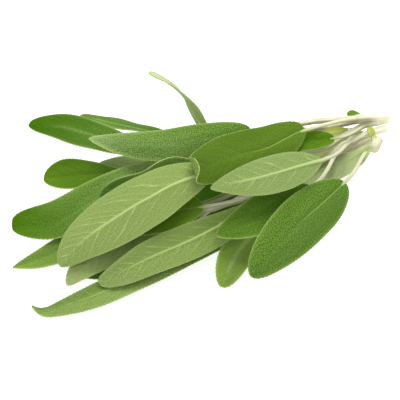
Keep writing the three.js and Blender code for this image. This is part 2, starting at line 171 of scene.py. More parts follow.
UPPER_SPRIG = dict(
    stem=[(93.5, 7.5, 9.5), (85, 7.3, 11.5), (72.5, 3.6, 13), (63, -0.7, 14.5), (55.9, -4, 15.8),
          (44.5, -4, 17), (26, -4.5, 18.5), (3, -5.5, 19.5)],
    radius=(1.4, 0.8),
    wool=dict(pale=0.3, purple=0.3, green=0.3, cut_dark=0),
    leaves=dict(
        broad_pale_leaf=dict(
            rib=[(2, -12, 30), (-15.5, -14.5, 30.5), (-26, -16.5, 29), (-36, -17.5, 26), (-56, -21, 19),
                 (-68, -24, 10)],
            joins=0.81, width=23, roll=(155, 152), fold=(12, 4), curl=(10, 5), wave=(0.5, 1.5, 5.1),
            blunt=(0.42, 0.58),
            felt=0.5, coarse=1.1, rib_line=1, young=0.15,
        ),
        cupped_leaf=dict(
            rib=[(0, -8, 25.5), (-11, -5.5, 24.5), (-25, -7.5, 21.5), (-44, 1.5, 15.5)],
            joins=0.83, width=19.5, roll=-10, fold=(0, 30), curl=(0, 30), wave=(1.2, 1.5, 3.4), blunt=0.55,
            # Its darker tip is painted shade inside the cup.
            tone=(0, 0, -1.1), felt=(0.7, 0.4), coarse=0.6,
        ),
        round_base_leaf=dict(
            rib=[(60.8, -3.4, 20), (53, -3.5, 22), (44, -4, 23.5), (27.5, -5.5, 24.5)],
            joins=0.1, width=9, roll=(-25, -20), curl=5, wave=(0.3, 2, 0.6), widest=0.4, blunt=0.5,
            tone=(0.2, 0.2, 0), felt=0.1, coarse=1.5, rib_line=0,
        ),
        strip_leaf=dict(
            rib=[(72, 5, 14), (66, 5, 15), (59, 6, 15.5)],
            joins=0.06, width=3.2, roll=-30, fold=10, wave=(0, 2, 1.1), blunt=0.7,
            tone=(0.6, 0.6, 0), felt=0.2, coarse=0.2, rib_line=0.2, young=1,
        ),
    ),
)

MIDDLE_SPRIG = dict(
    stem=[(91, 4, 8.8), (84, 3.4, 9.3), (71, -0.3, 11.3), (56.6, -6.5, 12.8), (42, -11.5, 14),
          (12, -18.5, 15), (-4, -19, 14), (-24, -18.5, 11)],
    radius=(1.6, 0.9),
    wool=dict(pale=0.55, purple=0.6, green=0.1, cut_dark=0),
    leaves=dict(
        slim_pale_leaf=dict(
            rib=[(46, -21.5, 30), (35.5, -24, 33), (18, -26, 35), (2, -25.5, 35.5), (-4, -25, 35)],
            joins=0.16, width=16, roll=150, fold=5, curl=5, wave=(0.3, 2, 2.7), widest=0.45, blunt=0.7,
            tone=(-0.25, 0.1, 0), felt=(0.8, 0.6), coarse=0.7, rib_line=1,
        ),
        leaning_leaf=dict(
            rib=[(41, -25, 19), (26, -31, 20.5), (9.5, -35, 20), (-5, -35.5, 17.5)],
            joins=0.22, width=18, roll=(-22, -18), wave=(0.4, 2, 4.9), widest=(0.4, 0.5), blunt=(0.65, 0.6),
            tone=(-0.3, -0.3, 0.2), felt=(0.2, 0.35), coarse=0.7,
        ),
        front_pale_leaf=dict(
            rib=[(14, -21, 13.4), (1, -28.4, 15.3), (-15.4, -33.2, 16), (-33, -35, 14.3), (-45, -35.5, 11),
                 (-55, -34, 7)],
            joins=0.45, width=15.5, roll=(152, 155), fold=6, curl=5, wave=(0.4, 2, 1.7),
            widest=(0.55, 0.38), blunt=(0.6, 0.28),
            # The dark tone of its left half is painted shade, where it lies in the shade of the leaves above
            # it.
            tone=(-2.6, -0.1, 0), felt=(0.2, 0.6), coarse=1.9, rib_line=0.5, young=0.1,
        ),
        dark_inner_leaf=dict(
            rib=[(-5, -19, 17), (-15, -18, 17.5), (-27, -17, 16), (-40.5, -14.7, 13)],
            joins=0.7, width=16, roll=(-20, -10), wave=(0.3, 2, 5.8), widest=(0.5, 0.4), blunt=(0.45, 0.6),
            tone=(0.8, 0.8, 0), felt=0.2, rib_line=0.3,
        ),
        small_pale_leaf=dict(
            rib=[(-21, -17.5, 8.5), (-36, -19, 9), (-51, -23, 9), (-60.5, -27, 7.5), (-67, -30, 4)],
            joins=0.9, width=14, roll=165, curl=5, wave=(0.3, 2, 3.9), blunt=(0.45, 0.65),
            tone=(0.6, 0.6, 0.3), felt=(0.3, 1.3), coarse=1.5, rib_line=0.5, young=0.2,
        ),
        low_tip_leaf=dict(
            rib=[(-20, -24, 4), (-40, -25, 1.2), (-60, -25, 0.3)],
            joins=0.8, width=13, wave=(0.3, 2, 0.9), blunt=0.65,
            tone=(-0.2, -0.2, 0), rib_line=0.2,
        ),
    ),
)

FRONT_SPRIG = dict(
    stem=[(86.5, -0.2, 7.9), (83, -1.4, 6.2), (77.3, -1.9, 5.6), (62, -5.4, 6.3), (40, -14.5, 6.8),
          (14.5, -23.5, 7), (-11.5, -27, 6.2)],
    radius=(1.5, 0.8),
    wool=dict(pale=0.5, purple=0.3, green=0.35, cut_dark=1),
    leaves=dict(
        broad_front_leaf=dict(
            rib=[(54.6, -28.2, 20), (40.5, -37, 22), (29, -43, 22), (12.5, -50, 15.5), (3.5, -53.5, 9)],
            joins=0.04, width=21.5, roll=-20, fold=5, curl=-12, wave=(0.4, 2, 2.4), widest=0.48,
            blunt=(0.48, 0.5),
            tone=(-1, -0.2, 0.5), felt=(0.4, 0.55), coarse=1.5, rib_line=0.4,
        ),
        low_front_leaf=dict(
            rib=[(30, -25, 7.2), (9.7, -33.7, 6.4), (0.4, -41, 6), (-8.4, -50.5, 3.5)],
            joins=0.45, width=14.5, roll=-20, fold=10, wave=(0.5, 2, 4.1), widest=0.6, blunt=(0.4, 0.52),
            tone=(0.2, 1.3, -0.4), felt=(0.9, 0.6), coarse=0.3, young=0.1,
        ),
        hooked_leaf=dict(
            rib=[(2.6, -33.2, 7.2), (-18.8, -35.8, 9.2), (-38.4, -36.6, 6.6), (-56, -38.2, 4.1),
                 (-72.5, -38, 2), (-79, -37.2, 1.5), (-83, -36, 5)],
            joins=0.8, width=12.5, roll=(168, 180), fold=0, wave=(0.4, 2, 1.4), widest=(0.5, 0.56),
            blunt=(0.85, 0.6),
            tone=(-1.1, 0.2, 0), coarse=1.3,
        ),
        shaded_pale_leaf=dict(
            rib=[(80, -3, 7.8), (68, -8, 8.5), (52, -12.5, 9.2), (40, -15, 9.3)],
            joins=0.05, width=12, roll=175, fold=0, wave=(0.3, 2, 5.4), widest=(0.55, 0.5), blunt=(1, 0.55),
            tone=(0.4, 0, 0), felt=(1.6, 1.4), coarse=0.3, rib_line=0.3,
        ),
        young_leaf=dict(
            rib=[(81.4, -0.3, 11), (81.4, 0.8, 12.8), (81, 2.9, 14.2)],
            joins=0.04, width=3.8, fold=20, curl=10, wave=(0.2, 2, 1.6), blunt=0.5,
            tone=(0.7, 0.7, 0), felt=(0.5, 0.3), coarse=0.2, young=1,
        ),
        low_right_leaf=dict(
            rib=[(54, -16, 4), (34, -25, 1), (3, -35, 0.3)],
            joins=0.25, width=17, wave=(0.4, 2, 3.6),
            rib_line=0.3,
        ),
    ),
)

LOW_SPRIG = dict(
    stem=[(88, 5.5, 1.9), (71, 1.5, 3), (42, -2.5, 4), (-3, -8.5, 5.5), (-34, -10, 6)],
    radius=(1.7, 0.8),
    wool=dict(pale=0.4, purple=0.4, green=0.3, cut_dark=0.2),
    leaves=dict(
        left_low_leaf=dict(
            rib=[(-44, -11, 5.5), (-64, -12, 3.8), (-75, -12.8, 2.9), (-86, -12.5, 2)],
            joins=0.95, width=13.5, roll=-10, fold=(15, 0), wave=(0.4, 2, 0.3), widest=0.4, blunt=0.75,
            tone=(0, -0.9, 0.2), felt=(0.3, 0.5), rib_line=0.5, young=0.1,
        ),
        low_back_leaf=dict(
            rib=[(0, 5, 4), (-22, 11, 1.3), (-50, 14, 0.3)],
            joins=0.66, width=17, wave=(0.4, 2, 3),
            rib_line=0.3,
        ),
        inner_low_leaf=dict(
            rib=[(22, -1, 8), (4, -1, 9.5), (-13, -3, 10), (-30, -6, 9.5)],
            joins=0.42, width=17, roll=-10, wave=(0.4, 2, 4.7), widest=0.45,
            # Its dark tone is painted shade for the deep gap in which it lies.
            tone=(-1.2, -1.2, 0), felt=0.1,
        ),
        low_stem_leaf=dict(
            rib=[(85, 9.5, 2.5), (70, 10, 1), (50, 9, 0.3)],
            joins=0.1, width=13, wave=(0.3, 2, 2), blunt=0.65,
            tone=(0.5, 0.5, 0), felt=(1.7, 1.2), coarse=0.4, rib_line=0.2, young=0.3,
        ),
        low_middle_leaf=dict(
            rib=[(30, -9.5, 3), (20, -11, 0.8), (8, -13, 0.2), (-14, -17, 0.2)],
            joins=0.35, width=17, fold=0, wave=(0.4, 2, 5.6),
            rib_line=0.3,
        ),
    ),
)

BACK_SPRIG = dict(
    stem=[(96, 12.5, 7.5), (75, 13, 9), (48, 13, 10), (19, 14.5, 11), (-10, 18, 11)],
    radius=(1.5, 0.8),
    wool=dict(pale=0.6, purple=0.3, green=0.2, cut_dark=0.1),
    leaves=dict(
        far_left_leaf=dict(
            rib=[(-16, 17.5, 17), (-28, 25.8, 18), (-38, 36, 17), (-49, 47, 15), (-62.5, 56, 12)],
            joins=0.8, width=15, roll=-10, fold=0, wave=(0.4, 2, 3.1), widest=(0.55, 0.6),
            blunt=(0.55, 0.35),
            tone=(-0.8, -0.6, 0.1), felt=(0.6, 0), coarse=0.2,
        ),
        long_left_leaf=dict(
            rib=[(-10, 10.3, 16.5), (-29.5, 6.3, 15), (-46.5, 2.3, 13), (-64, 0, 9), (-82, 4.2, 7)],
            joins=0.7, width=18.5, roll=-15, fold=(8, 5), wave=(0.4, 2, 1), widest=(0.54, 0.66),
            blunt=(0.45, 0.26),
            tone=(-0.1, -0.1, -0.3), felt=(1.5, 0), coarse=0.6,
        ),
        mid_left_leaf=dict(
            rib=[(-28, 14.2, 12.2), (-37.5, 17, 11), (-50, 22, 9), (-63, 27.5, 6)],
            joins=0.81, width=16, roll=(-12, -10), fold=(18, 10), curl=(0, 20), wave=(0.4, 2, 2.6),
            widest=(0.62, 0.69), blunt=(0.55, 0.45),
            tone=(-0.6, -0.5, 0.4), felt=(0.1, 0), coarse=0.9, young=0.05,
        ),
        edge_leaf=dict(
            rib=[(-3, 14, 11), (-12.5, 15.8, 10.5), (-21.5, 19.2, 10), (-30.5, 22.2, 9.5),
                 (-38.5, 25.8, 8.5)],
            joins=0.9, width=9.5, roll=-10, fold=0, wave=(0.4, 2, 1.2), blunt=(0.75, 0.6),
            # Its raised tone, and part of its felt, are painted light that lifts the shadow that the leaves
            # above cast on it.
            tone=(1.1, 1.1, 0), felt=1.5, coarse=1.8,
        ),
        thin_far_leaf=dict(
            rib=[(-4, 28.8, 12), (-13, 35.3, 12), (-23, 42.8, 11.5), (-31, 49.3, 11), (-38.1, 56.4, 10)],
            joins=0.67, width=12, roll=28, fold=5, wave=(0.4, 2, 4.2), blunt=(0.35, 0.4),
            tone=(-0.4, -0.4, 0), felt=(0.4, 0.5), coarse=0.3, rib_line=0.2,
        ),
        tiny_leaf=dict(
            rib=[(83, 10.5, 12), (79.5, 11.5, 14), (75, 13, 15)],
            joins=0.08, width=4.6, roll=-20, fold=0, wave=(0, 2, 0.5), widest=0.7,
            tone=(0.1, 0.1, 0), felt=(0.3, 0.2), coarse=0.3, young=0.1,
        ),
        back_upper_leaf=dict(
            rib=[(56, 12, 12.5), (40, 10.5, 15), (15, 13, 15)],
            joins=0.25, width=12, roll=12, wave=(0.4, 2, 5.2),
            rib_line=0.3,
        ),
        back_leaf=dict(
            rib=[(56, 15, 6), (37, 16, 3), (10, 16, 0.3)],
            joins=0.25, width=15, wave=(0.4, 2, 1.9),
            rib_line=0.3,
        ),
    ),
)

SPRIGS = {
    "top_sprig": TOP_SPRIG,
    "upper_sprig": UPPER_SPRIG,
    "middle_sprig": MIDDLE_SPRIG,
    "front_sprig": FRONT_SPRIG,
    "low_sprig": LOW_SPRIG,
    "back_sprig": BACK_SPRIG,
}


# ---------------------------------------------------------------- lines and leaves


def unit(vectors):
    return vectors / np.linalg.norm(vectors, axis=-1, keepdims=True)


def blend(a, b, share):
    return a + (b - a) * share


def both(value):
    """A pair as it is, and a single number twice."""
    return np.broadcast_to(value, 2)


class Line:
    """A smooth line through points that carries an upright along it and turns it by a roll."""

    def __init__(self, points, roll=(0, 0)):
        knots = np.array(points, float)
        before = 2 * knots[0] - knots[1]
        after = 2 * knots[-1] - knots[-2]
        self.knots = np.vstack([before, knots, after])
        self.roll = roll
        self.times = np.linspace(0, 1, LINE_STEPS + 1)
        spans = np.linalg.norm(np.diff(self.curve(self.times)[0], axis=0), axis=1)
        self.lengths = np.concatenate([[0], np.cumsum(spans)])
        self.length = self.lengths[-1]
        upright = np.array((0.0, 0.0, 1.0))
        self.uprights = []
        for along in self.path(np.linspace(0, 1, FRAME_STEPS + 1))[1]:
            upright = unit(upright - along * upright.dot(along))
            self.uprights.append(upright)
        self.uprights = np.array(self.uprights)

    def curve(self, times):
        """Points and directions at shares of the curve's own running number."""
        spans = len(self.knots) - 3
        place = np.clip(times, 0, 1) * spans
        span = np.minimum(place.astype(int), spans - 1)
        t = (place - span)[:, None]
        a, b, c, d = (self.knots[span + i] for i in range(4))
        start = (c - a) / 2
        end = (d - b) / 2
        square = 3 * (c - b) - 2 * start - end
        cube = 2 * (b - c) + start + end
        points = b + t * (start + t * (square + t * cube))
        return points, unit(start + t * (2 * square + t * 3 * cube))

    def path(self, shares):
        """Points and directions at shares of the line's length."""
        return self.curve(np.interp(shares * self.length, self.lengths, self.times))

    def at(self, shares):
        """The point, and the directions along, across and up, at each share of the line's length."""
        shares = np.atleast_1d(np.asarray(shares, float))
        point, along = self.path(shares)
        step = np.minimum((shares * FRAME_STEPS).astype(int), FRAME_STEPS - 1)
        part = (shares * FRAME_STEPS - step)[:, None]
        up = blend(self.uprights[step], self.uprights[step + 1], part)
        up = unit(up - along * (up * along).sum(axis=1, keepdims=True))
        turn = np.radians(blend(*self.roll, shares))[:, None]
        up = up * np.cos(turn) + np.cross(along, up) * np.sin(turn)
        return point, along, np.cross(along, up), up


def cells(along, across, size, draw):
    """Height of uneven round cells, from 0 between them to 1 at their middles."""
    shifts = draw.random((PEBBLE_REPEAT, PEBBLE_REPEAT, 2))
    column = np.floor(along / size).astype(int)
    row = np.floor(across / size).astype(int)
    nearest = np.full(along.shape, np.inf)
    for i in (-1, 0, 1):
        for j in (-1, 0, 1):
            shift = shifts[(column + i) % PEBBLE_REPEAT, (row + j) % PEBBLE_REPEAT]
            aside = along / size - column - i - shift[..., 0]
            beyond = across / size - row - j - shift[..., 1]
            nearest = np.minimum(nearest, np.hypot(aside, beyond))
    return np.clip(1 - nearest**2 * PEBBLE_STEEP, 0, 1)


class Leaf:
    """One leaf: where its stalk leaves the stem, and the form and relief of its blade."""

    def __init__(self, name, stem, rib, joins, width, wave, roll=0, fold=4, curl=0, widest=0.5,
                 blunt=0.6, tone=(-0.1, -0.1, 0), felt=0.3, coarse=0.5, rib_line=0.1, young=0):
        self.name = name
        self.rib = Line(rib, both(roll))
        self.joins = joins
        self.width = width
        self.fold = np.radians(both(fold))
        self.curl = np.radians(both(curl)) / (width / 2)
        self.wave = wave
        self.power = np.log(0.5) / np.log(both(widest))
        self.blunt = both(blunt)
        self.tone = tone
        self.felt = both(felt)
        self.looks = {"coarse": coarse, "rib_line": rib_line, "young": young}
        self.draw = np.random.default_rng([SEED, *name.encode()])
        self.start = self.draw.random()
        self.bend = self.bend_from(stem)

    def half_width(self, share, side):
        half = (side > 0).astype(int)
        swell = np.clip(np.sin(np.pi * share ** self.power[half]), 0, 1) ** self.blunt[half]
        return np.maximum(self.width / 2 * swell, BLADE_END)

    def place(self, share, side):
        """Points of the blade's middle, and the directions square to it, with side from -1 to 1."""
        point, _, across, up = self.rib.at(share)
        half = (side > 0).astype(int)
        out = np.abs(side) * self.half_width(share, side)
        bend = np.where(np.abs(self.curl[half]) < 1e-6, 1e-6, self.curl[half])
        turned = bend * out
        flat = np.sin(turned) / bend
        raised = (1 - np.cos(turned)) / bend
        fold = self.fold[half]
        height, count, phase = self.wave
        ripple = height * side**2 * np.sin(np.pi * share)
        ripple = ripple * np.sin(2 * np.pi * count * share + phase + half * 2)
        x = np.sign(side) * (flat * np.cos(fold) - raised * np.sin(fold))
        y = flat * np.sin(fold) + raised * np.cos(fold) + ripple
        lean = np.where(side == 0, 0, fold + turned)
        normal = up * np.cos(lean)[:, None] - across * (np.sign(side) * np.sin(lean))[:, None]
        return point + across * x[:, None] + up * y[:, None], normal

    def vein_phase(self, along, across):
        """A number that grows along the rib by one from side vein to side vein."""
        out = np.abs(across)
        started = along - VEIN_LEAN * out - VEIN_SWEEP * out**2
        grown = started + VEIN_CROWD / 2 * started * np.abs(started) / self.rib.length
        stagger = np.where(across < 0, VEIN_STAGGER, 0)
        # Two slow waves keep the veins a little uneven.
        uneven = 0.2 * np.sin(started * 0.4 + 7 * self.start) + 0.07 * np.sin(out * 0.9 + 9 * self.start)
        return grown / VEIN_SPACE + stagger + self.start + uneven

    def relief(self, along, across, share, side):
        """Height of the upper face over a smooth blade: sunken veins with pebbled bulges between."""
        phase = self.vein_phase(along, across)
        space = VEIN_SPACE / (1 + VEIN_CROWD * share)
        away = np.abs(phase - np.round(phase)) * space * VEIN_SLANT
        veins = np.exp(-((away / VEIN_WIDE) ** 2)) * np.clip(1 - np.abs(side) ** 3, 0, 1)
        swell = np.sin(np.clip(away / space / VEIN_SLANT * 2, 0, 1) * np.pi / 2)
        rib = np.exp(-((across / RIB_WIDE) ** 2)) * np.clip(1 - share, 0, 1) ** 0.6
        pebbles = (cells(along, across, PEBBLE, self.draw) - 0.4) * (0.4 + 0.6 * self.looks["coarse"])
        edge = np.clip((1 - np.abs(side)) * self.half_width(share, side) / RELIEF_EDGE, 0, 1)
        height = QUILT_RISE * (swell - 0.6) - VEIN_SINK * veins + PEBBLE_RISE * pebbles * (1 - veins)
        return height * (1 - rib) * edge - RIB_SINK * rib

    def bend_from(self, stem):
        """The stalk's line: it leaves the stem along it, bends to the blade and turns to face as it does."""
        start, heading = (row[0] for row in stem.at(self.joins)[:2])
        base, inward, _, facing = (row[0] for row in self.rib.at(0))
        reach = np.linalg.norm(base - start)
        leaving = start + heading * reach * STALK_LEAVES
        meeting = base - inward * reach * STALK_MEETS
        corners = np.array((start, leaving, meeting, base))
        t = np.linspace(0, 1, STALK_POINTS)[:, None]
        weights = ((1 - t) ** 3, 3 * t * (1 - t) ** 2, 3 * t**2 * (1 - t), t**3)
        bend = sum(weight * corner for weight, corner in zip(weights, corners))
        _, _, across, up = (row[0] for row in Line(bend).at(1))
        turn = math.atan2(facing.dot(across), facing.dot(up))
        return Line(bend, (0, math.degrees(turn)))

    def stalk(self):
        """The rings of the stalk, which runs on as the blade's rib, and the share of them before that."""
        slim = min(1, self.width / SLIM_BLADE)
        bend_count = max(4, round(self.bend.length / RING_STEP))
        first = np.linspace(0, 1, bend_count, endpoint=False)
        point, _, across, up = self.bend.at(first)
        wide = blend(STALK_RADIUS, RIB_START, first) * slim
        high = wide * blend(1, RIB_FLAT, first**2)
        rib_length = self.rib.length * RIB_REACH
        second = np.linspace(0, 1, round(rib_length / RING_STEP))
        rib_point, _, rib_across, rib_up = self.rib.at(second * RIB_REACH)
        rib_wide = blend(RIB_START, RIB_END, second**0.75) * slim
        rib_high = rib_wide * RIB_FLAT
        settled = np.clip(second * rib_length / RIB_SETTLE, 0, 1)
        sunk = (rib_high * RIB_DEEP + RIB_CLEAR) * settled
        rings = Rings(
            np.vstack([point, rib_point - rib_up * sunk[:, None]]),
            np.vstack([across, rib_across]),
            np.vstack([up, rib_up]),
            np.concatenate([wide, rib_wide]),
            np.concatenate([high, rib_high]),
        )
        return rings, bend_count / len(rings.wide)


class Rings:
    """The rings of a tube: their middles, their directions across and up, and how far they reach there."""

    def __init__(self, middle, across, up, wide, high):
        self.middle = middle
        self.across = across
        self.up = up
        self.wide = wide
        self.high = high
        steps = np.linalg.norm(np.diff(middle, axis=0), axis=1)
        self.along = np.concatenate([[0], np.cumsum(steps)])

    def place(self, share, angle, out):
        """The point at a share of the rings, an angle round them and a share of the way out.

        The directions outwards and along the tube there follow it.
        """
        ring = share * (len(self.wide) - 1)
        whole = np.minimum(ring.astype(int), len(self.wide) - 2)
        part = ring - whole

        def between(values):
            spread = part[:, None] if values.ndim == 2 else part
            return blend(values[whole], values[whole + 1], spread)

        across = unit(between(self.across))
        up = unit(between(self.up))
        outward = across * np.cos(angle)[:, None] + up * np.sin(angle)[:, None]
        wide = (between(self.wide) * out * np.cos(angle))[:, None]
        high = (between(self.high) * out * np.sin(angle))[:, None]
        return between(self.middle) + across * wide + up * high, outward, np.cross(across, up)


# ---------------------------------------------------------------- meshes


def select_nothing():
    bpy.ops.object.select_all(action="DESELECT")


def vertices_of(mesh):
    places = np.empty(len(mesh.vertices) * 3)
    mesh.vertices.foreach_get("co", places)
    return places.reshape(-1, 3)


def set_vertices(mesh, places):
    mesh.vertices.foreach_set("co", np.ascontiguousarray(places).ravel())
    mesh.update()


def add_map(mesh, name, across, up):
    """A UV map with one place for each vertex."""
    corners = np.empty(len(mesh.loops), int)
    mesh.loops.foreach_get("vertex_index", corners)
    places = np.stack([across[corners], up[corners]], axis=1)
    mesh.uv_layers.new(name=name).data.foreach_set("uv", places.ravel())


def add_value(mesh, name, values):
    """Numbers that a finish reads, one for each vertex or one for all."""
    spread = np.ascontiguousarray(np.broadcast_to(values, len(mesh.vertices)), float)
    mesh.attributes.new(name, "FLOAT", "POINT").data.foreach_set("value", spread)


def inside(places):
    """The places in the bunch's own millimetres as places in metres, kept inside the model's box."""
    moved = (places - MIDDLE) * MM
    return np.clip(moved, np.array(cad_lowest), np.array(cad_highest))


def pick(mesh, kind, wanted):
    """Edit mode is entered with only the wanted edges or faces of a mesh selected."""
    bpy.ops.object.mode_set(mode="EDIT")
    bpy.ops.mesh.select_mode(type=kind)
    bpy.ops.mesh.select_all(action="DESELECT")
    bpy.ops.object.mode_set(mode="OBJECT")
    for part in mesh.edges if kind == "EDGE" else mesh.polygons:
        part.select = wanted(part)
    bpy.ops.object.mode_set(mode="EDIT")


def blade(leaf, finishes):
    """A leaf's blade: a grid laid on the leaf's form, with its relief, made into a sheet with two faces."""
    select_nothing()
    rows = round(leaf.rib.length / ROW_STEP)
    columns = 2 * round(leaf.width / COLUMN_STEP / 2)
    bpy.ops.mesh.primitive_grid_add(x_subdivisions=rows, y_subdivisions=columns, size=2, calc_uvs=False)
    piece = bpy.context.object
    piece.name = leaf.name
    mesh = piece.data
    flat = vertices_of(mesh)
    even = (flat[:, 0] + 1) / 2
    share = blend(even, (1 - np.cos(np.pi * even)) / 2, ROW_CROWD)
    side = -flat[:, 1]
    half = leaf.half_width(share, side)
    along = share * leaf.rib.length
    tooth = np.abs(np.sin(np.pi * (along / TOOTH + leaf.start)))
    bitten = 1 - TOOTH_DEPTH / half * (1 - tooth) * np.abs(side) ** 8 * (half > TOOTHED_FROM)
    across = side * half * bitten
    middle, normal = leaf.place(share, side * bitten)
    height = leaf.relief(along, across, share, side)
    middle = middle + normal * height[:, None]
    middle[:, 2] = np.maximum(middle[:, 2], BLADE_THICK / 2)
    set_vertices(mesh, middle * MM)
    add_map(mesh, "leaf", along, across)
    add_map(mesh, "veins", leaf.vein_phase(along, across), half * (1 - np.abs(side)))
    add_value(mesh, "share", share)
    add_value(mesh, "height", height)
    tip = np.clip(share * 2 - 1, 0, 1)
    # The tone of each half and of the tip: partly the leaf's own colour, partly painted light and shade.
    left, right, added = leaf.tone
    add_value(mesh, "tone", blend(left, right, np.clip(0.5 + 2 * side, 0, 1)) + added * tip)
    add_value(mesh, "felt", blend(*leaf.felt, share))
    add_value(mesh, "tooth", tooth)
    for look, value in leaf.looks.items():
        add_value(mesh, look, value)
    for finish in finishes:
        mesh.materials.append(finish)
    sheet = piece.modifiers.new("sheet", "SOLIDIFY")
    sheet.thickness = BLADE_THICK * MM
    sheet.offset = 0
    sheet.use_quality_normals = True
    sheet.material_offset = 1
    sheet.material_offset_rim = 2
    bpy.ops.object.modifier_apply(modifier=sheet.name)
    set_vertices(mesh, inside(vertices_of(mesh) / MM))
    return piece


def tube(name, rings, sides, corner, finishes, looks, grown=1.0):
    """A closed tube through rings, from a cylinder that is cut into as many. corner makes it squarer.

    looks are values that its finish reads. grown is the share of it that is out before the blade starts.
    """
    select_nothing()
    count = len(rings.wide)
    bpy.ops.mesh.primitive_cylinder_add(vertices=sides, radius=1, depth=1, end_fill_type="NGON")
    piece = bpy.context.object
    piece.name = name
    mesh = piece.data
    pick(mesh, "EDGE", lambda edge: abs(np.subtract(*(mesh.vertices[i].co.z for i in edge.vertices))) > 0.5)
    bpy.ops.mesh.subdivide(number_cuts=count - 2)
    pick(mesh, "FACE", lambda face: abs(face.normal.z) > 0.9)
    for thickness in CUT_RINGS:
        bpy.ops.mesh.inset(thickness=thickness, use_individual=True)
    bpy.ops.object.mode_set(mode="OBJECT")
    for face in mesh.polygons:
        face.material_index = int(abs(face.normal.z) > 0.9) if len(finishes) > 1 else 0
    straight = vertices_of(mesh)
    share = np.clip(straight[:, 2] + 0.5, 0, 1)
    angle = np.arctan2(straight[:, 1], straight[:, 0])
    middle = np.hypot(straight[:, 0], straight[:, 1])
    places, outward, _ = rings.place(share, angle, middle * (1 - corner * np.cos(4 * angle)))
    along = np.interp(share, np.linspace(0, 1, count), rings.along)
    add_map(mesh, "leaf", along, angle * np.mean(rings.wide))
    add_value(mesh, "share", share)
    add_value(mesh, "ring", middle)
    # sky is how far the surface faces up; the stem finishes paint a highlight above and shade below from it.
    add_value(mesh, "sky", outward[:, 2])
    add_value(mesh, "grown", share / grown)
    for look, value in looks.items():
        add_value(mesh, look, value)
    set_vertices(mesh, inside(places))
    for finish in finishes:
        mesh.materials.append(finish)
    return piece


def stem_rings(stem, radius, leaves):
    """A square stem tapers, with a swelling where each leaf leaves it."""
    shares = np.linspace(0, 1, round(stem.length / RING_STEP) + 1)
    radii = blend(*radius, shares)
    for leaf in leaves:
        away = (shares - leaf.joins) * stem.length / NODE_LONG
        radii = radii * (1 + NODE_SWELL * np.exp(-(away**2)))
    radii = radii * (1 + STEM_UNEVEN * np.sin(shares * stem.length * 1.3))
    point, _, across, up = stem.at(shares)
    return Rings(point, across, up, radii, radii)


def join(pieces, name):
    select_nothing()
    for piece in pieces:
        piece.select_set(True)
    bpy.context.view_layer.objects.active = pieces[0]
    bpy.ops.object.join()
    piece = bpy.context.object
    piece.name = name
    piece.data.name = name
    bpy.ops.object.shade_smooth_by_angle(angle=math.radians(SMOOTH_ANGLE))
    return piece


# ---------------------------------------------------------------- hairs


def one_hair():
    """The form of one hair, a three-sided spike a unit long, as its corners and faces."""
    select_nothing()
    bpy.ops.mesh.primitive_cone_add(vertices=3, radius1=0.5, radius2=0, depth=1)
    piece = bpy.context.object
    corners = vertices_of(piece.data) + (0, 0, 0.5)
    faces = [tuple(face.vertices) for face in piece.data.polygons]
    bpy.data.objects.remove(piece)
    return corners, faces


def hairs(name, roots, tips, finish):
    """Hairs from their roots to their tips, as one mesh, without those that would leave the model's box."""
    ends = (tips - MIDDLE) * MM
    keep = np.all((ends > np.array(cad_lowest)) & (ends < np.array(cad_highest)), axis=1)
    roots = roots[keep]
    length = np.linalg.norm(tips[keep] - roots, axis=1, keepdims=True)
    heading = unit(tips[keep] - roots)
    across = unit(np.cross(heading, ASKEW))
    beside = np.cross(heading, across)
    corners, faces = one_hair()
    places = roots[:, None] + heading[:, None] * (corners[:, 2:3] * length[:, None])
    places = places + HAIR_WIDE * (across[:, None] * corners[:, 0:1] + beside[:, None] * corners[:, 1:2])
    first = len(corners) * np.arange(len(roots))
    all_faces = [tuple(int(start) + corner for corner in face) for start in first for face in faces]
    mesh = bpy.data.meshes.new(name)
    mesh.from_pydata(inside(places.reshape(-1, 3)).tolist(), [], all_faces)
    mesh.materials.append(finish)
    piece = bpy.data.objects.new(name, mesh)
    bpy.context.collection.objects.link(piece)
    return piece


def hairs_along(rings, per_mm, draw, end=1.0):
    """Roots and tips of hairs all round a tube, leaning towards its tip."""
    count = int(rings.along[-1] * end * per_mm)
    share = draw.uniform(0, end, count)
    roots, outward, along = rings.place(share, draw.uniform(0, 2 * np.pi, count), HAIR_ROOT)
    lean = along * draw.uniform(-0.2, 0.9, count)[:, None] + draw.normal(0, 0.35, (count, 3))
    length = draw.uniform(*HAIR_LONG, count)[:, None]
    return roots, roots + unit(outward + lean) * length


def hairs_round(leaf):
    """Roots and tips of hairs along both edges of a blade."""
    count = int(leaf.rib.length * 2 * RIM_HAIRS)
    share = leaf.draw.uniform(0.01, 0.99, count)
    side = leaf.draw.choice((-1.0, 1.0), count)
    roots, normal = leaf.place(share, side * RIM_ROOT)
    inner, _ = leaf.place(share, side * 0.8)
    outward = unit(roots - inner)
    lean = normal * leaf.draw.normal(0, 0.5, count)[:, None] + leaf.draw.normal(0, 0.3, (count, 3))
    roots = roots + normal * leaf.draw.uniform(-0.2, 0.2, count)[:, None]
    return roots, roots + unit(outward + lean) * leaf.draw.uniform(*RIM_HAIR_LONG, count)[:, None]


# ---------------------------------------------------------------- materials


class Value:
    """A socket in a finish. Sums of values add their Math nodes."""

    def __init__(self, finish, socket):
        self.finish = finish
        self.socket = socket

    def maths(self, operation, a, b=None):
        sockets = {0: a} if b is None else {0: a, 1: b}
        return self.finish.node("ShaderNodeMath", {"operation": operation}, sockets)

    def __add__(self, other):
        return self.maths("ADD", self, other)

    def __radd__(self, other):
        return self.maths("ADD", other, self)

    def __sub__(self, other):
        return self.maths("SUBTRACT", self, other)

    def __rsub__(self, other):
        return self.maths("SUBTRACT", other, self)

    def __mul__(self, other):
        return self.maths("MULTIPLY", self, other)

    def __rmul__(self, other):
        return self.maths("MULTIPLY", other, self)

    def __truediv__(self, other):
        return self.maths("DIVIDE", self, other)

    def __abs__(self):
        return self.maths("ABSOLUTE", self)


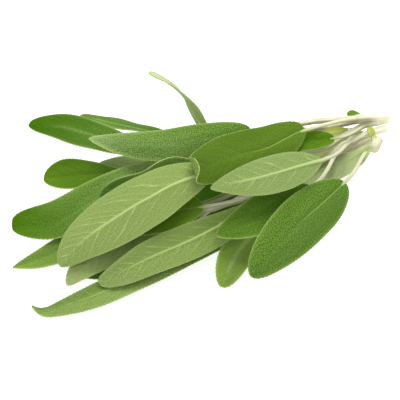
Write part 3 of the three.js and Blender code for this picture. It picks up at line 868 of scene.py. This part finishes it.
class Finish:
    """A material built from nodes."""

    def __init__(self, name):
        self.material = bpy.data.materials.new(name)
        self.material.use_nodes = True
        self.tree = self.material.node_tree
        self.tree.nodes.clear()

    def node(self, kind, settings=None, sockets=None, output=0):
        """A node of a type, with its settings set first, then its sockets' values or links."""
        node = self.tree.nodes.new(kind)
        for name, value in (settings or {}).items():
            setattr(node, name, value)
        for key, value in (sockets or {}).items():
            if isinstance(value, Value):
                self.tree.links.new(value.socket, node.inputs[key])
            else:
                node.inputs[key].default_value = value
        return Value(self, node.outputs[output])

    def attribute(self, name):
        return self.node("ShaderNodeAttribute", {"attribute_name": name}, output="Fac")

    def attributes(self, *names):
        return (self.attribute(name) for name in names)

    def object_place(self):
        return self.node("ShaderNodeTexCoord", output="Object")

    def map_of(self, name):
        """The two numbers of a UV map, and the map itself."""
        place = self.node("ShaderNodeUVMap", {"uv_map": name})
        split = self.node("ShaderNodeSeparateXYZ", {}, {0: place})
        return split, Value(self, split.socket.node.outputs[1]), place

    def smooth(self, value, low, high):
        """0 below low and 1 above high, or the other way round where high is below low."""
        settings = {"interpolation_type": "SMOOTHSTEP"}
        if high < low:
            return 1 - self.smooth(value, high, low)
        return self.node("ShaderNodeMapRange", settings, {"Value": value, "From Min": low, "From Max": high})

    def mix(self, share, a, b):
        """A colour between two."""
        settings = {"data_type": "RGBA", "clamp_factor": True}
        return self.node("ShaderNodeMix", settings, {0: share, 6: a, 7: b}, output=2)

    def noise(self, place, scale, detail=2.0, roughness=0.5):
        sockets = {"Vector": place, "Scale": scale, "Detail": detail, "Roughness": roughness}
        return self.node("ShaderNodeTexNoise", {}, sockets, output="Fac")

    def voronoi(self, place, scale, feature="F1"):
        settings = {"feature": feature, "voronoi_dimensions": "2D"}
        sockets = {"Vector": place, "Scale": scale, "Randomness": 0.8}
        return self.node("ShaderNodeTexVoronoi", settings, sockets, output="Distance")

    def stretched(self, place, along, across):
        """The place counted in long cells: along and across are how many fit in a millimetre."""
        return self.node("ShaderNodeMapping", {}, {"Vector": place, "Scale": (along, across, 1.0)})

    def bump(self, height, distance, strength=1.0):
        sockets = {"Height": height, "Distance": distance, "Strength": strength}
        return self.node("ShaderNodeBump", {}, sockets)

    def material_from(self, surface, glow=None):
        """The material with this surface. Some light is let through it where glow is a colour."""
        shader = self.node("ShaderNodeBsdfPrincipled", {}, surface)
        if glow:
            through = self.node("ShaderNodeBsdfTranslucent", {}, {"Color": glow})
            shader = self.node("ShaderNodeMixShader", {}, {0: GLOW_SHARE, 1: shader, 2: through})
        output = self.tree.nodes.new("ShaderNodeOutputMaterial")
        self.tree.links.new(shader.socket, output.inputs["Surface"])
        return self.material


def linear(red, green, blue):
    """A colour as it is seen, from 0 to 255, as a material's colour."""
    parts = [part / 255 for part in (red, green, blue)]
    return [part / 12.92 if part <= 0.04045 else ((part + 0.055) / 1.055) ** 2.4 for part in parts] + [1.0]


UPPER_DARK = linear(56, 98, 0)
UPPER_GREEN = linear(100, 140, 14)
UPPER_FELT = linear(148, 174, 104)
UPPER_LIGHT = linear(172, 198, 112)
UNDER_DARK = linear(92, 120, 44)
UNDER_GREEN = linear(140, 166, 84)
UNDER_PALE = linear(164, 184, 122)
UNDER_VEIN = linear(190, 208, 138)
FELT_WHITE = linear(214, 216, 184)
YOUNG_GREEN = linear(204, 212, 112)
LEAF_GLOW = linear(150, 190, 50)
GLOW_SHARE = 0.1  # of the light that a blade lets through
STEM_PALE = linear(228, 227, 190)
STEM_GREEN = linear(168, 182, 118)
STEM_GREY = linear(172, 174, 138)
STEM_PURPLE = linear(176, 156, 148)
STALK_GREEN = linear(172, 194, 118)
CUT_PALE = linear(244, 241, 214)
CUT_DARK = linear(72, 74, 40)
CUT_RING = linear(214, 220, 172)
HAIR_WHITE = linear(232, 234, 216)


def vein_lines(finish, share, place, width):
    """1 on the side veins of a leaf and 0 between them, fading here and there and towards its edge."""
    phase, edge, _ = finish.map_of("veins")
    part = finish.node("ShaderNodeMath", {"operation": "FRACT"}, {0: phase + 0.5})
    away = abs(part - 0.5) * (VEIN_SPACE * VEIN_SLANT) / (1 + VEIN_CROWD * share)
    shown = 0.35 + 0.65 * finish.smooth(finish.noise(place, 0.22, 1.0), 0.38, 0.62)
    return finish.smooth(away, width, 0.04) * finish.smooth(edge, 0.6, 4.5) * shown


def rim_line(finish, across, coarse):
    """The pale line and woolly band at a blade's edge, with dashes in from its left edge on coarse leaves."""
    _, edge, _ = finish.map_of("veins")
    dashes = finish.smooth(edge, 2.4, 0.3) * finish.smooth(finish.attribute("tooth"), 0.8, 1.0)
    dashes = dashes * finish.smooth(across, -0.5, -2.0) * finish.smooth(coarse, 1.2, 2.4)
    woolly = finish.smooth(edge, 1.8, 0.3) * finish.attribute("felt") * 0.3
    return finish.smooth(edge, 0.5, 0.1) * 0.4 + dashes * 0.9 + woolly


def upper_finish():
    finish = Finish("sage upper face")
    _, across, place = finish.map_of("leaf")
    share, felt, coarse, tone, young = finish.attributes("share", "felt", "coarse", "tone", "young")
    pebbles = finish.smooth(finish.voronoi(place, 1.45), 0.6, 0.05)
    # Painted shade in the relief's pits, and painted light on its bulges.
    pit_shade = finish.smooth(finish.attribute("height"), -0.1, 0.08)
    grain = finish.noise(place, 2.4, 3.0, 0.6)
    folds = finish.noise(finish.stretched(place, 0.04, 0.22), 1.0, 2.0)
    rough = coarse * finish.smooth(felt, -0.2, 0.3)
    grains = (0.75 * pebbles + 0.1 * pit_shade + 0.15 * grain - 0.5) * (0.15 + 0.75 * rough)
    # Tone and shading lighten or darken each half and the tip: partly the leaf's own tone, partly painted
    # light and shade.
    light = 0.5 + grains + 0.5 * tone + 0.6 * (folds - 0.5)
    base = finish.mix(finish.smooth(light, -0.1, 1.1), UPPER_DARK, UPPER_GREEN)
    # A painted highlight: a soft pale band along the rib of smoother leaves, towards the tip, mixed in with
    # the felt as woolly.
    painted_rib_sheen = finish.smooth(abs(across), 1.4, 0.2) * finish.smooth(coarse, 0.6, 0.3)
    painted_rib_sheen = painted_rib_sheen * finish.smooth(share, 0.9, 0.76)
    woolly = felt * (0.6 + 1.2 * painted_rib_sheen) * (0.4 + 0.75 * pebbles) * (0.4 + 1.2 * folds)
    base = finish.mix(woolly, base, UPPER_FELT)
    base = finish.mix(vein_lines(finish, share, place, 0.22) * 0.1, base, UPPER_FELT)
    rib = finish.smooth(abs(across), 0.42, 0.12) * finish.smooth(share, 0.65, 0.25)
    base = finish.mix(rib * finish.attribute("rib_line"), base, UPPER_LIGHT)
    base = finish.mix(young * (0.75 + 0.25 * grain), base, YOUNG_GREEN)
    base = finish.mix(finish.smooth(felt, 1.0, 2.4) * (0.7 + 0.3 * grain), base, FELT_WHITE)
    base = finish.mix(rim_line(finish, across, coarse), base, UPPER_LIGHT)
    return finish.material_from(
        {
            "Base Color": base,
            "Roughness": 0.72 - 0.1 * pebbles,
            "Specular IOR Level": 0.04,
            "Normal": finish.bump((0.7 * pebbles + 0.3 * grain) * (0.2 + 0.7 * rough), 0.1 * MM, 0.8),
        },
        LEAF_GLOW,
    )


def under_finish():
    finish = Finish("sage underside")
    _, across, place = finish.map_of("leaf")
    share, felt, coarse, tone, young = finish.attributes("share", "felt", "coarse", "tone", "young")
    rib_line = finish.attribute("rib_line")
    net = finish.smooth(finish.voronoi(place, 1.15, "DISTANCE_TO_EDGE"), 0.16, 0.02)
    grain = finish.smooth(finish.noise(place, 2.1, 2.0, 0.6), 0.3, 0.7)
    clouds = finish.noise(place, 0.1, 2.0)
    grains = (0.35 * net + 0.75 * (grain - 0.5)) * (0.4 + coarse)
    # Tone and shading lighten or darken each half and the tip: partly the leaf's own tone, partly painted
    # light and shade.
    light = 0.55 + grains + 0.5 * tone + 0.35 * (clouds - 0.5)
    base = finish.mix(finish.smooth(light, -0.1, 1.2), UNDER_DARK, UNDER_GREEN)
    base = finish.mix(finish.smooth(felt, 0.0, 1.0) * 0.7 * (0.3 + 0.7 * grain), base, UNDER_PALE)
    veins = vein_lines(finish, share, place, 0.2)
    base = finish.mix(veins * (0.2 + 0.5 * rib_line), base, UNDER_VEIN)
    rib = finish.smooth(abs(across), 0.8, 0.25) * finish.smooth(share, 1.02, 0.5)
    base = finish.mix(rib * rib_line * 0.8, base, STALK_GREEN)
    base = finish.mix(young * 0.4, base, YOUNG_GREEN)
    base = finish.mix(finish.smooth(felt, 1.0, 2.4) * (0.7 + 0.3 * grain), base, FELT_WHITE)
    base = finish.mix(rim_line(finish, across, coarse) * 0.5, base, UNDER_VEIN)
    return finish.material_from(
        {
            "Base Color": base,
            "Roughness": 0.85 - 0.1 * grain,
            "Specular IOR Level": 0.08,
            "Sheen Weight": 0.05,
            "Sheen Roughness": 0.5,
            "Normal": finish.bump(0.4 * veins + 0.35 * net + 0.5 * grain, 0.14 * MM, 0.9),
        },
        LEAF_GLOW,
    )


def rim_finish():
    finish = Finish("sage leaf edge")
    _, _, place = finish.map_of("leaf")
    grain = finish.noise(place, 1.4, 2.0)
    base = finish.mix(finish.smooth(grain, 0.35, 0.65), UPPER_FELT, UPPER_LIGHT)
    return finish.material_from(
        {"Base Color": base, "Roughness": 0.8, "Normal": finish.bump(grain, 0.1 * MM)}
    )


def wool_finish(name, base_of):
    """A woolly surface with long streaks. base_of gives its colour from the finish and the streaks."""
    finish = Finish(name)
    _, _, place = finish.map_of("leaf")
    streaks = finish.noise(finish.stretched(place, 0.12, 1.6), 1.0, 3.0)
    wool = finish.noise(place, 5.0, 3.0, 0.7)
    base = base_of(finish, finish.smooth(streaks, 0.35, 0.65))
    base = finish.mix(finish.smooth(wool, 0.5, 0.8) * 0.4, base, STEM_PALE)
    return finish.material_from(
        {
            "Base Color": base,
            "Roughness": 0.88 - 0.1 * wool,
            "Specular IOR Level": 0.1,
            "Sheen Weight": 0.1,
            "Sheen Roughness": 0.6,
            "Normal": finish.bump(0.5 * streaks + 0.5 * wool, 0.15 * MM),
        }
    )


def stem_base(finish, streaks):
    """Grey-green with a purple stain that also stands as painted shade below, a painted highlight above, and
    pale at the cut end.
    """
    sky, share, cut_dark = finish.attributes("sky", "share", "cut_dark")
    green, purple, pale = finish.attributes("green", "purple", "pale")
    base = finish.mix(green * (0.5 + 0.5 * streaks), STEM_GREY, STEM_GREEN)
    # The purple stain is kept off the top, so it also darkens the underside as painted shade.
    purple_stain_and_shade = purple * (0.4 + 0.6 * streaks) * finish.smooth(sky, 0.95, 0.3)
    base = finish.mix(purple_stain_and_shade, base, STEM_PURPLE)
    # A painted highlight along the upper side, as strong as pale gives.
    lit = finish.smooth(sky, 0.1, 0.9) * (0.35 + 0.65 * pale) * (0.5 + 0.5 * streaks)
    base = finish.mix(lit, base, STEM_PALE)
    fresh = finish.smooth(share, 0.14, 0.05) * (1 - 0.6 * cut_dark)
    return finish.mix(fresh, base, CUT_PALE)


def stalk_base(finish, streaks):
    """As the stem where it leaves it, and green as it becomes the rib."""
    sky, grown, rib_line = finish.attributes("sky", "grown", "rib_line")
    green, purple, pale = finish.attributes("green", "purple", "pale")
    base = finish.mix(green * streaks, STEM_GREY, STEM_GREEN)
    base = finish.mix(purple * 0.7 * streaks, base, STEM_PURPLE)
    # A painted highlight along the stalk's upper side, as strong as pale gives.
    lit = finish.smooth(sky, -0.2, 0.8) * (0.3 + 0.6 * pale)
    base = finish.mix(lit, base, STEM_PALE)
    rib = finish.mix(rib_line, UNDER_GREEN, STALK_GREEN)
    return finish.mix(finish.smooth(grown, 0.75, 1.2), base, rib)


def cut_finish():
    finish = Finish("cut end of a stem")
    ring, cut_dark = finish.attributes("ring", "cut_dark")
    fibres = finish.noise(finish.object_place(), 2500.0, 2.0)
    pith = finish.mix(cut_dark, CUT_PALE, CUT_DARK)
    base = finish.mix(finish.smooth(ring, 0.62, 0.8), pith, CUT_RING)
    base = finish.mix(finish.smooth(fibres, 0.4, 0.7) * 0.3, base, CUT_PALE)
    return finish.material_from(
        {"Base Color": base, "Roughness": 0.7, "Normal": finish.bump(fibres, 0.1 * MM)}
    )


def hair_finish():
    finish = Finish("leaf and stem hairs")
    patches = finish.noise(finish.object_place(), 160.0, 1.0)
    base = finish.mix(finish.smooth(patches, 0.3, 0.7), STEM_PALE, HAIR_WHITE)
    return finish.material_from({"Base Color": base, "Roughness": 0.6, "Specular IOR Level": 0.3})


def floor_finish():
    finish = Finish("pale floor")
    patches = finish.noise(finish.object_place(), 3.0, 1.0)
    base = finish.mix(patches, (0.5, 0.5, 0.5, 1), (0.53, 0.53, 0.53, 1))
    return finish.material_from(
        {
            "Base Color": base,
            "Roughness": 0.9,
            "Specular IOR Level": 0.0,
            "Emission Color": (1, 1, 1, 1),
            "Emission Strength": FLOOR_GLOW,
        }
    )


# ---------------------------------------------------------------- the bunch


def dress(piece, sprig):
    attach(piece, "root")
    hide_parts(sprig)


def make_sprig(name, stem, radius, wool, leaves, finishes):
    """One leafy stem: its leaves, its stem with the stalks, and the hairs on both."""
    line = Line(stem)
    grown = [Leaf(leaf, line, **form) for leaf, form in leaves.items()]
    draw = np.random.default_rng([SEED, *name.encode()])
    rings = stem_rings(line, radius, grown)
    blades = [blade(leaf, finishes["blade"]) for leaf in grown]
    tubes = [tube(name + "_stem", rings, STEM_SIDES, STEM_CORNER, finishes["stem"], wool)]
    tufts = [hairs_along(rings, STEM_HAIRS, draw)]
    for leaf in grown:
        stalk, bend_share = leaf.stalk()
        looks = {**leaf.looks, **wool}
        tubes.append(tube(leaf.name + "_stalk", stalk, STALK_SIDES, 0, finishes["stalk"], looks, bend_share))
        tufts.append(hairs_along(stalk, STALK_HAIRS, draw, bend_share))
        tufts.append(hairs_round(leaf))
    roots = np.vstack([tuft[0] for tuft in tufts])
    tips = np.vstack([tuft[1] for tuft in tufts])
    dress(join(blades, name + "_leaves"), name)
    dress(join(tubes, name + "_stems"), name)
    dress(hairs(name + "_hairs", roots, tips, finishes["hair"]), name)


def make_floor():
    select_nothing()
    bpy.ops.mesh.primitive_plane_add(size=6)
    floor = bpy.context.object
    floor.name = "floor"
    floor.data.materials.append(floor_finish())


def make_lamp(name, place, size, power):
    lamp = bpy.data.lights.new(name, "AREA")
    lamp.energy = power
    lamp.size = size
    holder = bpy.data.objects.new(name, lamp)
    holder.location = place
    holder.rotation_euler = (-Vector(place)).to_track_quat("-Z", "Y").to_euler()
    bpy.context.collection.objects.link(holder)


def make_light():
    world = bpy.data.worlds.new("studio")
    world.use_nodes = True
    sky = world.node_tree.nodes["Background"]
    sky.inputs["Color"].default_value = (1, 1, 1, 1)
    sky.inputs["Strength"].default_value = SKY_LIGHT
    bpy.context.scene.world = world
    make_lamp("top light", (0.25, 0.35, 0.9), 0.6, 8.2)
    make_lamp("side light", (-0.7, -0.3, 0.6), 0.6, 2)
    bpy.context.scene.view_settings.view_transform = "Standard"


def make_camera():
    """The camera looks down at the bunch from its front, a little from its left."""
    azimuth = math.radians(CAMERA_AZIMUTH)
    elevation = math.radians(CAMERA_ELEVATION)
    back = Vector((
        math.sin(azimuth) * math.cos(elevation),
        -math.cos(azimuth) * math.cos(elevation),
        math.sin(elevation),
    ))
    lens = bpy.data.cameras.new("camera")
    lens.lens = CAMERA_LENS
    lens.sensor_width = 36
    lens.clip_start = 0.01
    camera = bpy.data.objects.new("camera", lens)
    camera.location = Vector(CAMERA_TARGET) * MM + back * (CAMERA_DISTANCE * MM)
    camera.rotation_euler = back.to_track_quat("Z", "Y").to_euler()
    bpy.context.collection.objects.link(camera)
    bpy.context.scene.camera = camera


def make_bunch():
    finishes = {
        "blade": [upper_finish(), under_finish(), rim_finish()],
        "stem": [wool_finish("woolly stem", stem_base), cut_finish()],
        "stalk": [wool_finish("stalk and rib", stalk_base)],
        "hair": hair_finish(),
    }
    for name, sprig in SPRIGS.items():
        make_sprig(name, **sprig, finishes=finishes)


make_camera()
make_light()
make_floor()
make_bunch()
